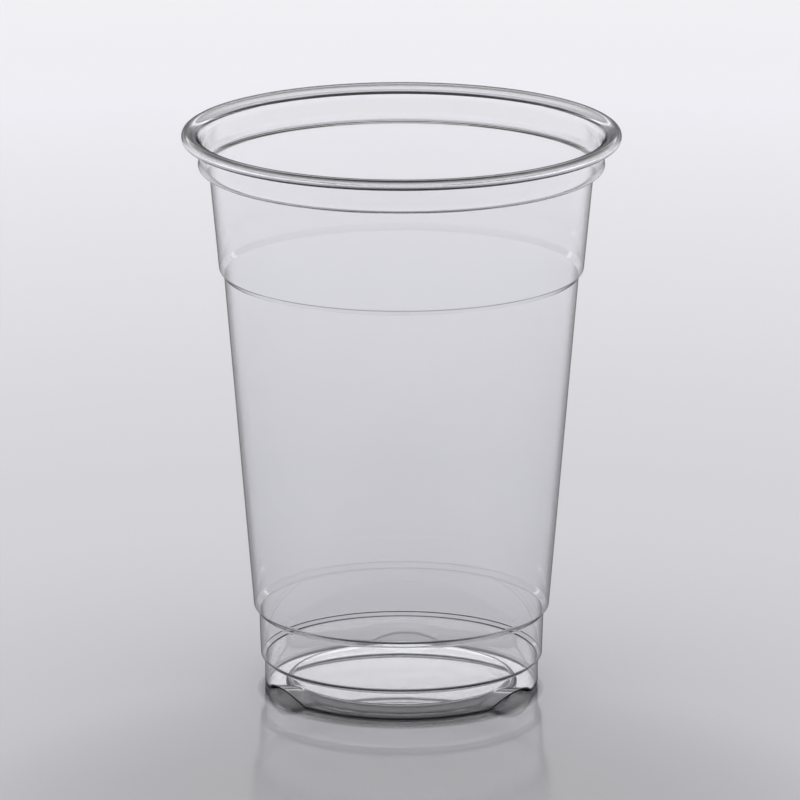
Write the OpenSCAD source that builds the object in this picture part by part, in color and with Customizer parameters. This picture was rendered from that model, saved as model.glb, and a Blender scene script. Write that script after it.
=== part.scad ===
// Clear cold-drink cup, thermoformed in one piece from one sheet.
// The outside face of the sheet is one line of corners with bend radii, from the middle
// of the floor to the cut edge under the rolled rim. The sheet's thickness lies on the
// inner side of that line, and the whole section is revolved about Z.
// The sheet keeps most of its thickness in the rim, and is drawn thin in the walls.
// Three arches are pressed up through the foot ring. Z = 0 is the table.

/* [Overall] */
// Height from the table to the top of the rolled rim
cup_h = 124; // [112:1:140]
// Outside diameter of the rolled rim, which the lid snaps over
rim_d = 95; // [90:0.5:98]
// Thickness of the sheet in the upper and main wall
wall = 0.25; // [0.2:0.05:0.4]
// Thickness of the sheet in the floor, the foot and the lower band
base_wall = 0.35; // [0.25:0.05:0.5]
// Thickness of the sheet at the collar's lower edge
collar_wall = 0.4; // [0.25:0.05:0.6]
// Thickness of the sheet in the neck and the rolled rim
rim_wall = 0.6; // [0.4:0.05:0.7]

/* [Rolled rim] */
// Width of the roll, from the neck side to its outermost face
roll_w = 2.8; // [2.5:0.1:3.4]
// Height of the roll
roll_h = 2.3; // [2.1:0.1:2.8]
// Distance from the roll to the neck, where the cut edge hides
roll_gap = 0.85; // [0.6:0.05:1.2]
// Radius under the flare that leads from the neck into the roll
flare_bend = 2.2; // [1.6:0.05:2.5]
// Radius of the roll's outer upper edge, on the face that a lid grips
roll_top_bend = 1.05; // [0.8:0.05:1.15]
// Radius of the roll's outer lower edge, on the face that a lid grips
roll_low_bend = 1; // [0.8:0.05:1.15]

/* [Stacking collar] */
// Height of the collar, from its lower edge to the top of the rim
collar_h = 7.95; // [6.5:0.05:10]
// How far the neck is pulled in above the collar's lower edge
neck_undercut = 0.2; // [0.1:0.05:0.4]
// Height of the swelling at the collar's lower edge
collar_swell_h = 1.6; // [1.2:0.1:2.4]
// Width of the ledge under the collar, which carries the next cup
collar_ledge = 2.45; // [1.8:0.05:2.8]
// Drop of that ledge towards the wall
collar_ledge_drop = 0.3; // [0.1:0.05:0.6]

/* [Tapered walls] */
// Draft of the upper wall, in degrees
upper_draft = 5.45; // [4:0.05:7]
// Distance from the top of the rim down to the shoulder's edge
shoulder_drop = 30.3; // [24:0.1:36]
// Width of the shoulder's step
shoulder_step = 1.05; // [0.6:0.05:1.6]
// Height of the shoulder's slope
shoulder_slope_h = 1.3; // [0.8:0.1:2]
// Draft of the main wall, in degrees
main_draft = 4.78; // [4:0.02:5.4]
// Height of the lower shoulder's edge above the table
low_shoulder_z = 18.1; // [16:0.1:22]
// Width of the lower shoulder's step
low_step = 1.15; // [0.6:0.05:1.4]
// Height of the lower shoulder's slope
low_slope_h = 1.3; // [0.8:0.1:2]
// Draft of the lower band, in degrees
band_draft = 2; // [1:0.1:4]

/* [Foot] */
// Height of the skirt's upper edge above the table
skirt_h = 6.9; // [6:0.1:9]
// Width of the step between the lower band and the skirt
skirt_step = 0.88; // [0.5:0.05:1.2]
// Height of the slope between the lower band and the skirt
skirt_slope_h = 0.7; // [0.5:0.05:1]
// Radius in the hollow of the bend where the skirt turns into the foot ring
foot_bend = 0.55; // [0.3:0.05:0.7]
// Width of the foot ring that stands on the table
foot_w = 4.9; // [4.2:0.1:6]
// Height of the floor's underside above the table
floor_z = 1.5; // [1.2:0.1:1.8]
// Lean of the foot ring's inner side
foot_lean = 0.6; // [0.4:0.1:1]

/* [Arches] */
// Number of arches pressed through the foot ring
arches = 3; // [2:1:4]
// Height of an arch where it leaves the skirt
arch_h = 2.2; // [1.9:0.1:2.6]
// Width of an arch at the table
arch_w = 16.4; // [12:0.2:20]

/* [Bends] */
// Radius in the hollow of the bends at the edges of the steps
step_bend = 0.3; // [0.2:0.05:0.35]
// Radius in the hollow of the bend at the floor's edge
floor_bend = 1.2; // [0.8:0.1:1.4]
// Radius in the hollow of the bend where the foot ring meets its inner side
ring_bend = 0.3; // [0.2:0.05:0.4]

/* [Hidden] */
$fn = 160;

rim_r = rim_d/2;
// Lines of the outside face, which runs inside the roll
roll_line_r = rim_r-rim_wall;
roll_line_top = cup_h-rim_wall;
roll_line_low = cup_h-roll_h+rim_wall;
neck_r = rim_r-roll_w-roll_gap;
collar_z = cup_h-collar_h;
collar_r = neck_r+neck_undercut;
upper_top_r = collar_r-collar_ledge;
upper_top_z = collar_z-collar_ledge_drop;
shoulder_z = cup_h-shoulder_drop;
shoulder_r = upper_top_r-(upper_top_z-shoulder_z)*tan(upper_draft);
main_top_r = shoulder_r-shoulder_step;
main_top_z = shoulder_z-shoulder_slope_h;
main_low_r = main_top_r-(main_top_z-low_shoulder_z)*tan(main_draft);
band_top_r = main_low_r-low_step;
band_top_z = low_shoulder_z-low_slope_h;
band_low_r = band_top_r-(band_top_z-skirt_h)*tan(band_draft);
skirt_r = band_low_r-skirt_step;
skirt_top_z = skirt_h-skirt_slope_h;
floor_r = skirt_r-foot_w-foot_lean;
// The sheet's cut edge stays on the roll's side of the gap
curl_r = neck_r+roll_gap;
// Largest turn between two points of a bend, in degrees
bend_turn = 18;

// Corners of the outside face: radius, height, radius in the hollow of the bend, thickness
corners = [
    [0, floor_z, 0, base_wall],
    [floor_r, floor_z, floor_bend, base_wall],
    [floor_r+foot_lean, 0, ring_bend, base_wall],
    [skirt_r, 0, foot_bend, base_wall],
    [skirt_r, skirt_top_z, step_bend, base_wall],
    [band_low_r, skirt_h, step_bend, base_wall],
    [band_top_r, band_top_z, step_bend, base_wall],
    [main_low_r, low_shoulder_z, step_bend, base_wall],
    [main_top_r, main_top_z, step_bend, wall],
    [shoulder_r, shoulder_z, step_bend, wall],
    [upper_top_r, upper_top_z, step_bend, wall],
    [collar_r, collar_z, step_bend, collar_wall],
    [neck_r, collar_z+collar_swell_h, step_bend, collar_wall],
    [neck_r, roll_line_top, flare_bend, rim_wall],
    [roll_line_r, roll_line_top, roll_top_bend-rim_wall, rim_wall],
    [roll_line_r, roll_line_low, roll_low_bend-rim_wall, rim_wall],
    [curl_r, roll_line_low, 0, rim_wall]
];

function unit(v) = v/norm(v);
// Point at distance d from corner b, towards its neighbour a
function towards(a, b, d) = b+unit(a-b)*d;
function left_of(v) = [-v[1], v[0]];
function cross2(a, b) = a[0]*b[1]-a[1]*b[0];

// Points of one rounded corner b between its neighbours a and c, each with the thickness
function bend_points(a, b, c, bend, thick) =
    let (
        into = unit(b-a),
        out = unit(c-b),
        side = sign(cross2(into, out)),
        // The outside face is the wider one where the sheet turns to its inner side
        radius = side > 0 ? bend+thick : bend,
        turn = acos(into*out),
        start = towards(a, b, radius*tan(turn/2)),
        middle = start+left_of(into)*side*radius,
        steps = max(2, ceil(turn/bend_turn))
    )
    [for (i = [0:steps])
        let (
            t = side*turn*i/steps,
            p = middle-side*radius*[left_of(into)[0]*cos(t)-left_of(into)[1]*sin(t),
                left_of(into)[0]*sin(t)+left_of(into)[1]*cos(t)]
        )
        [p[0], p[1], thick]];

function flat2(p) = [p[0], p[1]];

// The outside face as a line of points, with every bend rounded
face = [for (i = [0:len(corners)-1])
    let (p = corners[i])
    each p[2] == 0 ? [[p[0], p[1], p[3]]]
        : bend_points(flat2(corners[i-1]), flat2(p), flat2(corners[i+1]), p[2], p[3])];
outside = [for (p = face) flat2(p)];

// A point of the line, moved by a share of the sheet's thickness to its inner side
function shift_point(i, share) =
    let (
        before = i == 0 ? [1, 0] : unit(outside[i]-outside[i-1]),
        after = i == len(outside)-1 ? before : unit(outside[i+1]-outside[i]),
        n1 = left_of(before),
        n2 = left_of(after)
    )
    outside[i]+(n1+n2)*share*face[i][2]/(1+n1*n2);

inside = [for (i = [0:len(outside)-1]) shift_point(i, 1)];

module sheet_of_revolution() {
    rotate_extrude()
        polygon(concat(outside, [for (i = [len(inside)-1:-1:0]) inside[i]]));
}

// Middle of the sheet, from the floor's centre to the top of the skirt
foot_line = [for (i = [0:len(outside)-1])
    if (outside[i][1] < skirt_top_z) shift_point(i, 1/2)];

// Room above the foot ring and inside the skirt, where the arches rise
module foot_room() {
    rotate_extrude()
        polygon(concat(foot_line, [[0, foot_line[len(foot_line)-1][1]]]));
}

// Radius of the arch, from its width and height at the table
arch_r = (pow(arch_w/2, 2)+pow(arch_h, 2))/(2*arch_h);
// The arch runs down to the floor's edge, where it has the floor's height
arch_lean = atan((arch_h-floor_z)/(skirt_r-floor_r));
// Lengths of the arch's rod, from the skirt inwards and outwards along the crest
arch_in = skirt_r-floor_r/2;
arch_out = 2*(foot_bend+base_wall);

// One radial rod, grown by the sheet's thickness where asked
// Its crest meets the skirt at the arch's height, and its axis lies below the crest
module arch_rod(grow) {
    translate([skirt_r, 0, arch_h])
        rotate([0, 90-arch_lean, 0])
            translate([arch_r, 0, -arch_in])
                cylinder(r = arch_r+grow, h = arch_in+arch_out);
}

// The first arch lies at the back, and the feet lie between the arches
module arch_rods(grow) {
    for (i = [0:arches-1])
        rotate([0, 0, 90+i*360/arches])
            arch_rod(grow);
}

module cup() {
    color([0.86, 0.89, 0.92, 0.45])
        difference() {
            union() {
                sheet_of_revolution();
                intersection() {
                    foot_room();
                    arch_rods(base_wall);
                }
            }
            arch_rods(0);
        }
}

cup();
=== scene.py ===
import math

import bmesh
import bpy
from mathutils import Matrix, Vector


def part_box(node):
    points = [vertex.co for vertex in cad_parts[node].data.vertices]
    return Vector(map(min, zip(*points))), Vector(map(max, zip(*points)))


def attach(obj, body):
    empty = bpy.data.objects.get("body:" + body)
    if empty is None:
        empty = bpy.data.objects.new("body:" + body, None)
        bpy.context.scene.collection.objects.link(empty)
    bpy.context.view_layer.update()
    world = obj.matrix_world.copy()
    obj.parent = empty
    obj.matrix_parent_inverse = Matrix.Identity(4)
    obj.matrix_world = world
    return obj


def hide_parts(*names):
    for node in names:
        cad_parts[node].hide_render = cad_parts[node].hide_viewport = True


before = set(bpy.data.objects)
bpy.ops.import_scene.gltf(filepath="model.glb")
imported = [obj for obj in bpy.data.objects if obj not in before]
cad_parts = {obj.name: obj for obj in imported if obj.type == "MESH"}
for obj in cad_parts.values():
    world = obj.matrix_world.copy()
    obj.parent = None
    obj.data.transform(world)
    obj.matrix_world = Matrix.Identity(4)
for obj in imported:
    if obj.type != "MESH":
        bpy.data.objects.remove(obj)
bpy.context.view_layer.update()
mm = 0.001

# Cup, one thermoformed sheet: sizes in mm and degrees, read up from the table
cupSizes = {
    "wall": 0.25, "baseWall": 0.35, "collarWall": 0.4, "rimWall": 0.6,
    "rollWidth": 2.8, "rollHeight": 2.3, "rollGap": 0.85,
    "flareBend": 2.2, "rollTopBend": 1.05, "rollLowBend": 1.0,
    "collarHeight": 7.95, "neckUndercut": 0.2, "swellHeight": 1.6,
    "ledgeWidth": 2.45, "ledgeDrop": 0.3,
    "upperDraft": 5.45, "mainDraft": 4.78, "bandDraft": 2.0,
    "shoulderDrop": 30.3, "shoulderStep": 1.05, "shoulderSlope": 1.3,
    "lowShoulder": 18.1, "lowStep": 1.15, "lowSlope": 1.3,
    "skirtHeight": 6.9, "skirtStep": 0.88, "skirtSlope": 0.7,
    "footBend": 0.55, "footWidth": 4.9, "footLean": 0.6, "floorHeight": 1.5,
    "stepBend": 0.3, "floorBend": 1.2, "ringBend": 0.3,
    "arches": 3, "archHeight": 2.2, "archWidth": 16.4, "archSoftness": 0.25, "archLimit": 0.95,
    "spinSteps": 256, "bendTurn": 10.0, "support": 0.2, "longRun": 0.8, "footRings": 0.6,
    "merge": 0.001, "wallSide": 1,
}


def cupCorners(s, rimRadius, cupHeight):
    # Corners of the sheet's outside face: radius, height, radius in the hollow of the bend, thickness
    wall, baseWall, collarWall, rimWall = (s[key] for key in ("wall", "baseWall", "collarWall", "rimWall"))
    lineTop, lineLow = cupHeight - rimWall, cupHeight - s["rollHeight"] + rimWall
    lineRadius = rimRadius - rimWall
    neck = rimRadius - s["rollWidth"] - s["rollGap"]
    collar, collarZ = neck + s["neckUndercut"], cupHeight - s["collarHeight"]
    upper, upperZ = collar - s["ledgeWidth"], collarZ - s["ledgeDrop"]
    shoulderZ = cupHeight - s["shoulderDrop"]
    shoulder = upper - (upperZ - shoulderZ) * math.tan(math.radians(s["upperDraft"]))
    mainTop, mainTopZ = shoulder - s["shoulderStep"], shoulderZ - s["shoulderSlope"]
    mainLow = mainTop - (mainTopZ - s["lowShoulder"]) * math.tan(math.radians(s["mainDraft"]))
    bandTop, bandTopZ = mainLow - s["lowStep"], s["lowShoulder"] - s["lowSlope"]
    bandLow = bandTop - (bandTopZ - s["skirtHeight"]) * math.tan(math.radians(s["bandDraft"]))
    skirt, skirtTop = bandLow - s["skirtStep"], s["skirtHeight"] - s["skirtSlope"]
    floorEdge = skirt - s["footWidth"] - s["footLean"]
    corners = [
        (0, s["floorHeight"], 0, baseWall),
        (floorEdge, s["floorHeight"], s["floorBend"], baseWall),
        (floorEdge + s["footLean"], 0, s["ringBend"], baseWall),
        (skirt, 0, s["footBend"], baseWall),
        (skirt, skirtTop, s["stepBend"], baseWall),
        (bandLow, s["skirtHeight"], s["stepBend"], baseWall),
        (bandTop, bandTopZ, s["stepBend"], baseWall),
        (mainLow, s["lowShoulder"], s["stepBend"], baseWall),
        (mainTop, mainTopZ, s["stepBend"], wall),
        (shoulder, shoulderZ, s["stepBend"], wall),
        (upper, upperZ, s["stepBend"], wall),
        (collar, collarZ, s["stepBend"], collarWall),
        (neck, collarZ + s["swellHeight"], s["stepBend"], collarWall),
        (neck, lineTop, s["flareBend"], rimWall),
        (lineRadius, lineTop, s["rollTopBend"] - rimWall, rimWall),
        (lineRadius, lineLow, s["rollLowBend"] - rimWall, rimWall),
        (neck + s["rollGap"], lineLow, 0, rimWall),
    ]
    return corners, {"floorEdge": floorEdge, "skirt": skirt, "skirtTop": skirtTop}


def bendPoints(before, corner, after, radius, thick, bendTurn):
    # The arc of one rounded corner, each point with the sheet's thickness as its third number
    into, out = (corner - before).normalized(), (after - corner).normalized()
    side = 1 if into.cross(out) > 0 else -1
    if side > 0:
        radius += thick
    turn = into.angle(out)
    start = corner - into * radius * math.tan(turn / 2)
    middle = start + Vector((-into.y, into.x)) * side * radius
    spoke = start - middle
    steps = max(2, math.ceil(math.degrees(turn) / bendTurn))
    points = []
    for step in range(steps + 1):
        angle = side * turn * step / steps
        points.append(Vector((middle.x + spoke.x * math.cos(angle) - spoke.y * math.sin(angle),
                              middle.y + spoke.x * math.sin(angle) + spoke.y * math.cos(angle), thick)))
    return points


def sectionLine(corners, s):
    # Arcs joined by straight runs, with a support point near both ends of each long run
    line = []
    for i, (radius, height, bend, thick) in enumerate(corners):
        if bend:
            before, corner, after = (Vector(corners[j][:2]) for j in (i - 1, i, i + 1))
            arc = bendPoints(before, corner, after, bend, thick, s["bendTurn"])
        else:
            arc = [Vector((radius, height, thick))]
        if line:
            run = (arc[0] - line[-1]).xy.length
            if run > s["longRun"]:
                share = s["support"] / run
                line += [line[-1].lerp(arc[0], share), line[-1].lerp(arc[0], 1 - share)]
        line += arc
    return line


def closeRings(points, longest, lowRadius, top):
    # Extra rings on the foot, where the arches are drawn up
    filled = [points[0]]
    for point in points[1:]:
        start = filled[-1]
        gap = (point - start).xy.length
        if point.x > lowRadius and min(point.y, start.y) < top and gap > longest:
            parts = math.ceil(gap / longest)
            filled += [start.lerp(point, k / parts) for k in range(1, parts)]
        filled.append(point)
    return filled


def raiseArches(bm, s, edges):
    # Each arch lifts the foot ring and leaves the floor and the top of the skirt where they are
    archRadius = ((s["archWidth"] / 2) ** 2 + s["archHeight"] ** 2) / (2 * s["archHeight"])
    slope = (s["archHeight"] - s["floorHeight"]) / (edges["skirt"] - edges["floorEdge"])
    middle = (edges["skirt"] + edges["floorEdge"]) / 2
    pitch = 2 * math.pi / s["arches"]
    for vert in bm.verts:
        x, y, z = (c / mm for c in vert.co)
        radius = math.hypot(x, y)
        top = edges["skirtTop"] if radius > middle else s["floorHeight"]
        if z >= top:
            continue
        turn = math.atan2(y, x) - math.pi / 2
        turn -= pitch * round(turn / pitch)
        aside = min(abs(radius * math.sin(turn)), archRadius * s["archLimit"])
        crest = s["archHeight"] - (edges["skirt"] - radius) * slope
        height = crest - archRadius + math.sqrt(archRadius ** 2 - aside ** 2)
        lift = (height + math.sqrt(height ** 2 + s["archSoftness"] ** 2)) / 2
        vert.co.z = (z + lift * (1 - z / top)) * mm


def makeCup(s):
    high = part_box("cup")[1]
    corners, edges = cupCorners(s, high.x / mm, high.z / mm)
    line = closeRings(sectionLine(corners, s), s["footRings"], edges["floorEdge"], edges["skirtTop"])
    thickest = max(point.z for point in line)
    bm = bmesh.new()
    share = bm.verts.layers.deform.verify()
    verts = []
    for point in line:
        vert = bm.verts.new((point.x * mm, 0, point.y * mm))
        vert[share][0] = point.z / thickest
        verts.append(vert)
    for a, b in zip(verts, verts[1:]):
        bm.edges.new((a, b))
    bmesh.ops.spin(bm, geom=bm.verts[:] + bm.edges[:], cent=(0, 0, 0), axis=(0, 0, 1),
                   dvec=(0, 0, 0), angle=2 * math.pi, steps=s["spinSteps"],
                   use_merge=True, use_duplicate=False)
    bmesh.ops.remove_doubles(bm, verts=bm.verts[:], dist=s["merge"] * mm)
    raiseArches(bm, s, edges)
    bmesh.ops.recalc_face_normals(bm, faces=bm.faces[:])
    for face in bm.faces:
        face.smooth = True
    mesh = bpy.data.meshes.new("clearCup")
    bm.to_mesh(mesh)
    bm.free()
    piece = bpy.data.objects.new("clear_cup", mesh)
    bpy.context.scene.collection.objects.link(piece)
    # The thickness group thins the wall away from the rim, as the draw does
    piece.vertex_groups.new(name="thickness")
    thicken = piece.modifiers.new("wall", "SOLIDIFY")
    thicken.thickness = thickest * mm
    thicken.vertex_group = "thickness"
    thicken.offset = s["wallSide"]
    thicken.use_even_offset = True
    return piece


def hexColour(text):
    # sRGB hex to the linear values that the shaders take
    parts = [int(text[i:i + 2], 16) / 255 for i in (0, 2, 4)]
    return [c / 12.92 if c <= 0.04045 else ((c + 0.055) / 1.055) ** 2.4 for c in parts] + [1.0]


def grey(share):
    return (share, share, share, 1.0)


def addNode(tree, kind, settings=(), links=()):
    # A setting goes to the socket of that name or number, or else to the node itself
    node = tree.nodes.new(kind)
    for name, value in dict(settings).items():
        if isinstance(name, int) or name in node.inputs:
            node.inputs[name].default_value = value
        else:
            setattr(node, name, value)
    for name, socket in dict(links).items():
        tree.links.new(socket, node.inputs[name])
    return node


def setStops(ramp, colours):
    # Stops of a colour ramp, each at its position
    while len(ramp.elements) < len(colours):
        ramp.elements.new(0.5)
    for stop, (position, colour) in zip(ramp.elements, sorted(colours.items())):
        stop.position, stop.color = position, colour


def newMaterial(name):
    material = bpy.data.materials.new(name)
    material.use_nodes = True
    material.node_tree.nodes.clear()
    return material, material.node_tree


petSizes = {
    "colour": "FBFBFC", "paintedShadeColour": "121214", "roughness": 0.01, "ior": 1.575,
    "ripple": 9.0, "rippleStretch": 4.0, "rippleDepth": 0.004,
    # Painted shade: how much dark is mixed into the sheet, by how far it turns edge-on
    "paintedShadeByTurn": {0.0: 0.0, 0.62: 0.0, 0.7: 0.02, 0.76: 0.09, 0.84: 0.34, 0.9: 0.64, 1.0: 0.95},
    # Heights in mm where the painted shade counts the sheet as turned further, or less far where the
    # number is negative
    "footSpan": (0.0, 8.0), "rimSpan": (112.0, 124.0),
    "footShift": {0.0: 0.02, 0.35: 0.02, 0.5: 0.12, 1.3: 0.12, 1.5: 0.02, 2.0: 0.02, 3.0: 0.0},
    "rimShift": {118.6: 0.0, 119.2: -0.2, 121.3: -0.2, 121.8: -0.06, 122.8: -0.06, 123.3: 0.1},
    # The same painted shade on faces met from inside the sheet, standing in for light held inside it by
    # its faces
    "insideShift": {115.0: 0.34, 115.5: 0.2, 117.2: 0.2, 117.8: 0.34},
    # The same painted shade for the bends above the skirt, by how far they look up
    "stepShift": {5.7: 0.0, 5.9: 0.7, 7.1: 0.7, 7.3: 0.0},
    "stepTilt": {0.1: 0.0, 0.25: 1.0, 0.55: 1.0, 0.7: 0.0},
}


def byHeight(tree, height, span, shares):
    # Value that changes with the height in the cup, between two heights in mm
    bottom, reach = span[0], span[1] - span[0]
    low, high = min(shares.values()), max(shares.values())
    part = addNode(tree, "ShaderNodeMath",
                   {"operation": "MULTIPLY_ADD", 1: 1 / (reach * mm), 2: -bottom / reach}, {0: height})
    ramp = addNode(tree, "ShaderNodeValToRGB", {}, {"Fac": part.outputs["Value"]})
    setStops(ramp.color_ramp, {(z - bottom) / reach: grey((share - low) / (high - low))
                               for z, share in shares.items()})
    value = addNode(tree, "ShaderNodeMath", {"operation": "MULTIPLY_ADD", 1: high - low, 2: low},
                    {0: ramp.outputs["Color"]})
    return value.outputs["Value"]


def paintedEdgeShade(tree, s, place):
    # Share of painted shade, by how far the sheet turns edge-on, on inside faces and by height
    facing = addNode(tree, "ShaderNodeLayerWeight")
    sheet = addNode(tree, "ShaderNodeNewGeometry")
    height = addNode(tree, "ShaderNodeSeparateXYZ", {}, {"Vector": place.outputs["Object"]}).outputs["Z"]
    upward = addNode(tree, "ShaderNodeSeparateXYZ", {}, {"Vector": sheet.outputs["Normal"]})
    tilt = addNode(tree, "ShaderNodeValToRGB", {}, {"Fac": upward.outputs["Z"]})
    setStops(tilt.color_ramp, {position: grey(share) for position, share in s["stepTilt"].items()})
    inside = byHeight(tree, height, s["rimSpan"], s["insideShift"])
    paintedShadeTurn = addNode(tree, "ShaderNodeMath", {"operation": "MULTIPLY_ADD"},
                    {0: sheet.outputs["Backfacing"], 1: inside, 2: facing.outputs["Facing"]})
    for span, shares in ((s["footSpan"], s["footShift"]), (s["rimSpan"], s["rimShift"])):
        paintedShadeTurn = addNode(tree, "ShaderNodeMath", {"operation": "ADD"},
                        {0: byHeight(tree, height, span, shares), 1: paintedShadeTurn.outputs["Value"]})
    step = byHeight(tree, height, s["footSpan"], s["stepShift"])
    paintedShadeTurn = addNode(tree, "ShaderNodeMath", {"operation": "MULTIPLY_ADD"},
                    {0: step, 1: tilt.outputs["Color"], 2: paintedShadeTurn.outputs["Value"]})
    paintedShadeShare = addNode(tree, "ShaderNodeValToRGB", {}, {"Fac": paintedShadeTurn.outputs["Value"]})
    setStops(paintedShadeShare.color_ramp, {position: grey(share) for position, share in s["paintedShadeByTurn"].items()})
    return paintedShadeShare.outputs["Color"]


def clearPet(s):
    # Clear PET, thermoformed: glass-clear, with painted shade mixed in where the sheet turns edge-on,
    # with slow ripples from the draw
    material, tree = newMaterial("clear PET, thermoformed")
    place = addNode(tree, "ShaderNodeTexCoord")
    stretch = addNode(tree, "ShaderNodeMapping", {"Scale": (1, 1, 1 / s["rippleStretch"])},
                      {"Vector": place.outputs["Object"]})
    ripple = addNode(tree, "ShaderNodeTexNoise", {"Scale": 1 / (s["ripple"] * mm)},
                     {"Vector": stretch.outputs["Vector"]})
    bump = addNode(tree, "ShaderNodeBump", {"Distance": s["rippleDepth"] * mm},
                   {"Height": ripple.outputs["Fac"]})
    clear = addNode(tree, "ShaderNodeBsdfPrincipled",
                    {"Base Color": hexColour(s["colour"]), "Roughness": s["roughness"], "IOR": s["ior"],
                     "Transmission Weight": 1.0}, {"Normal": bump.outputs["Normal"]})
    # Painted shade: the dark diffuse that the sheet is mixed with at its edges and at the painted heights
    dark = addNode(tree, "ShaderNodeBsdfDiffuse", {"Color": hexColour(s["paintedShadeColour"])})
    blend = addNode(tree, "ShaderNodeMixShader", {},
                    {0: paintedEdgeShade(tree, s, place), 1: clear.outputs["BSDF"], 2: dark.outputs["BSDF"]})
    addNode(tree, "ShaderNodeOutputMaterial", {}, {"Surface": blend.outputs["Shader"]})
    return material


cup = makeCup(cupSizes)
cup.data.materials.append(clearPet(petSizes))
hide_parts("cup")
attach(cup, "root")
print("cup made:", len(cup.data.polygons), "faces")

# Table: sizes in metres
tableSizes = {
    "width": 12.0, "squares": 8, "roughness": 0.14, "ior": 1.49,
    # Distance from the middle of the cup's painted soft shadow in front, and the colour there: painted
    # shade, darker near it and paler further out
    "shadeCentre": (0.004, -0.1, 0.0), "shadeReach": 0.8,
    "colours": {0.0: "979799", 0.02: "979799", 0.045: "969698", 0.062: "9A9A9D", 0.075: "A0A0A3",
                0.085: "A6A6AA", 0.098: "AFAFB3", 0.107: "B2B2B6", 0.16: "B3B3B8", 0.221: "B6B6BB",
                0.28: "B8B8BD", 0.337: "C0C0C4", 0.398: "CACACE", 0.458: "D4D4D9", 0.524: "DFDFE3",
                0.595: "EAEAEE", 0.669: "F5F5FA", 0.796: "FEFEFF"},
    # Distance from a point just in front of the cup's axis, and the share of the colour left there by a
    # painted contact shadow round the foot
    "footCentre": (0.0, -0.0048, 0.0), "footReach": 0.04,
    "footShade": {0.0: 1.0, 0.02: 1.0, 0.0235: 0.4, 0.0275: 0.18, 0.0285: 0.07, 0.0295: 0.12,
                  0.0303: 0.4, 0.0315: 1.0},
}


def byDistance(tree, place, centre, reach, stops):
    # Colour by distance from a centre on the table
    away = addNode(tree, "ShaderNodeVectorMath", {"operation": "DISTANCE", 1: centre},
                   {0: place.outputs["Object"]})
    part = addNode(tree, "ShaderNodeMath", {"operation": "DIVIDE", 1: reach}, {0: away.outputs["Value"]})
    ramp = addNode(tree, "ShaderNodeValToRGB", {}, {"Fac": part.outputs["Value"]})
    setStops(ramp.color_ramp, {distance / reach: colour for distance, colour in stops.items()})
    return ramp.outputs["Color"]


def polishedAcrylic(s):
    # Acrylic, polished, with painted shade in its colour: pale further out, the cup's soft shadow painted
    # in front and a painted contact shadow at its foot
    material, tree = newMaterial("acrylic, polished")
    place = addNode(tree, "ShaderNodeTexCoord")
    # Painted shade: the cup's soft shadow in front, paler further out
    wide = byDistance(tree, place, s["shadeCentre"], s["shadeReach"],
                      {distance: hexColour(colour) for distance, colour in s["colours"].items()})
    # Painted shade: a dark contact line round the foot
    near = byDistance(tree, place, s["footCentre"], s["footReach"],
                      {distance: grey(share) for distance, share in s["footShade"].items()})
    colour = addNode(tree, "ShaderNodeVectorMath", {"operation": "MULTIPLY"}, {0: wide, 1: near})
    shader = addNode(tree, "ShaderNodeBsdfPrincipled", {"Roughness": s["roughness"], "IOR": s["ior"]},
                     {"Base Color": colour.outputs["Vector"]})
    addNode(tree, "ShaderNodeOutputMaterial", {}, {"Surface": shader.outputs["BSDF"]})
    return material


def makeTable(s):
    bm = bmesh.new()
    bmesh.ops.create_grid(bm, x_segments=s["squares"], y_segments=s["squares"], size=s["width"] / 2)
    mesh = bpy.data.meshes.new("table")
    bm.to_mesh(mesh)
    bm.free()
    piece = bpy.data.objects.new("table", mesh)
    bpy.context.scene.collection.objects.link(piece)
    piece.data.materials.append(polishedAcrylic(s))
    return piece


makeTable(tableSizes)
print("table made")

# Surround, the same from all sides
skySizes = {
    "tint": (0.985, 0.98, 1.0), "plain": 1.1,
    # Sine of the height in the sky, and how bright it is there in glass and gloss
    "levels": {0.0: 0.7, 0.13: 0.7, 0.17: 0.2, 0.228: 0.2, 0.237: 0.4, 0.25: 1.0, 0.263: 1.85,
               0.2695: 2.2, 0.28: 2.3, 0.286: 2.15, 0.291: 1.6, 0.297: 0.85, 0.305: 0.45, 0.33: 0.35,
               0.39: 0.3, 1.0: 0.35},
}


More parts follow.
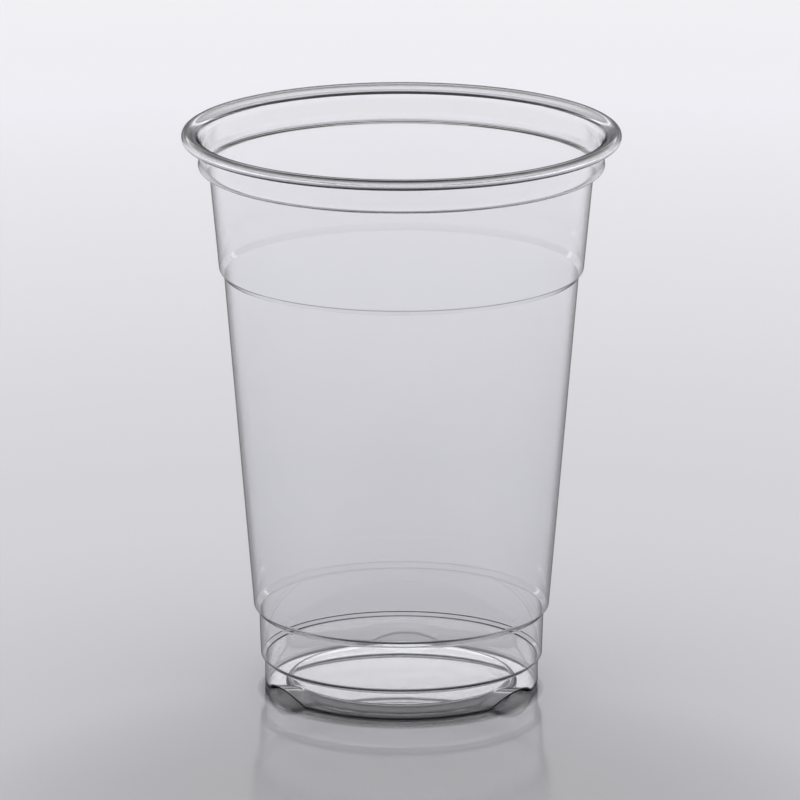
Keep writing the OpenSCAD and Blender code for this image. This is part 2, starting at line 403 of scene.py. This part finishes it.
def makeSky(s):
    # Glass and gloss see a bright band above a dark horizon; all else is lit by a plain sky
    world = bpy.data.worlds.new("studio")
    bpy.context.scene.world = world
    world.use_nodes = True
    world.cycles.sampling_method = "NONE"
    tree = world.node_tree
    tree.nodes.clear()
    place = addNode(tree, "ShaderNodeTexCoord")
    axes = addNode(tree, "ShaderNodeSeparateXYZ", {}, {"Vector": place.outputs["Generated"]})
    ramp = addNode(tree, "ShaderNodeValToRGB", {}, {"Fac": axes.outputs["Z"]})
    brightest = max(s["levels"].values())
    setStops(ramp.color_ramp, {position: [level / brightest * c for c in s["tint"]] + [1.0]
                               for position, level in s["levels"].items()})
    band = addNode(tree, "ShaderNodeBackground", {"Strength": brightest},
                   {"Color": ramp.outputs["Color"]})
    plain = addNode(tree, "ShaderNodeBackground", {"Color": (*s["tint"], 1.0), "Strength": s["plain"]})
    ray = addNode(tree, "ShaderNodeLightPath")
    share = addNode(tree, "ShaderNodeMath", {"operation": "MAXIMUM"},
                    {0: ray.outputs["Is Diffuse Ray"], 1: ray.outputs["Is Camera Ray"]})
    sky = addNode(tree, "ShaderNodeMixShader", {},
                  {0: share.outputs["Value"], 1: band.outputs["Background"],
                   2: plain.outputs["Background"]})
    addNode(tree, "ShaderNodeOutputWorld", {}, {"Surface": sky.outputs["Shader"]})


# Camera: places and lens in mm, turns in degrees
cameraSizes = {
    "lens": 405.07, "sensor": 36.0, "aside": -0.318, "away": 1891.3, "height": 566.0,
    "down": 14.8714, "turn": 2.2, "farthest": 100000.0,
}


def makeCamera(s):
    # A long lens from 2 m away, 15 degrees above the table, a little to the right of the front foot
    data = bpy.data.cameras.new("camera")
    data.sensor_width = s["sensor"]
    data.lens = s["lens"]
    data.clip_end = s["farthest"] * mm
    camera = bpy.data.objects.new("camera", data)
    turn = Matrix.Rotation(math.radians(s["turn"]), 3, "Z")
    camera.location = turn @ Vector((s["aside"], -s["away"], s["height"])) * mm
    camera.rotation_euler = (math.radians(90 - s["down"]), 0, math.radians(s["turn"]))
    bpy.context.scene.collection.objects.link(camera)
    bpy.context.scene.camera = camera


makeSky(skySizes)
makeCamera(cameraSizes)
print("sky and camera made")

# Light passes many faces of the sheet before it leaves the cup
lightSizes = {"bounces": 24, "glossyBounces": 12}
scene = bpy.context.scene
scene.view_settings.view_transform = "Standard"
scene.cycles.max_bounces = lightSizes["bounces"]
scene.cycles.transmission_bounces = lightSizes["bounces"]
scene.cycles.glossy_bounces = lightSizes["glossyBounces"]
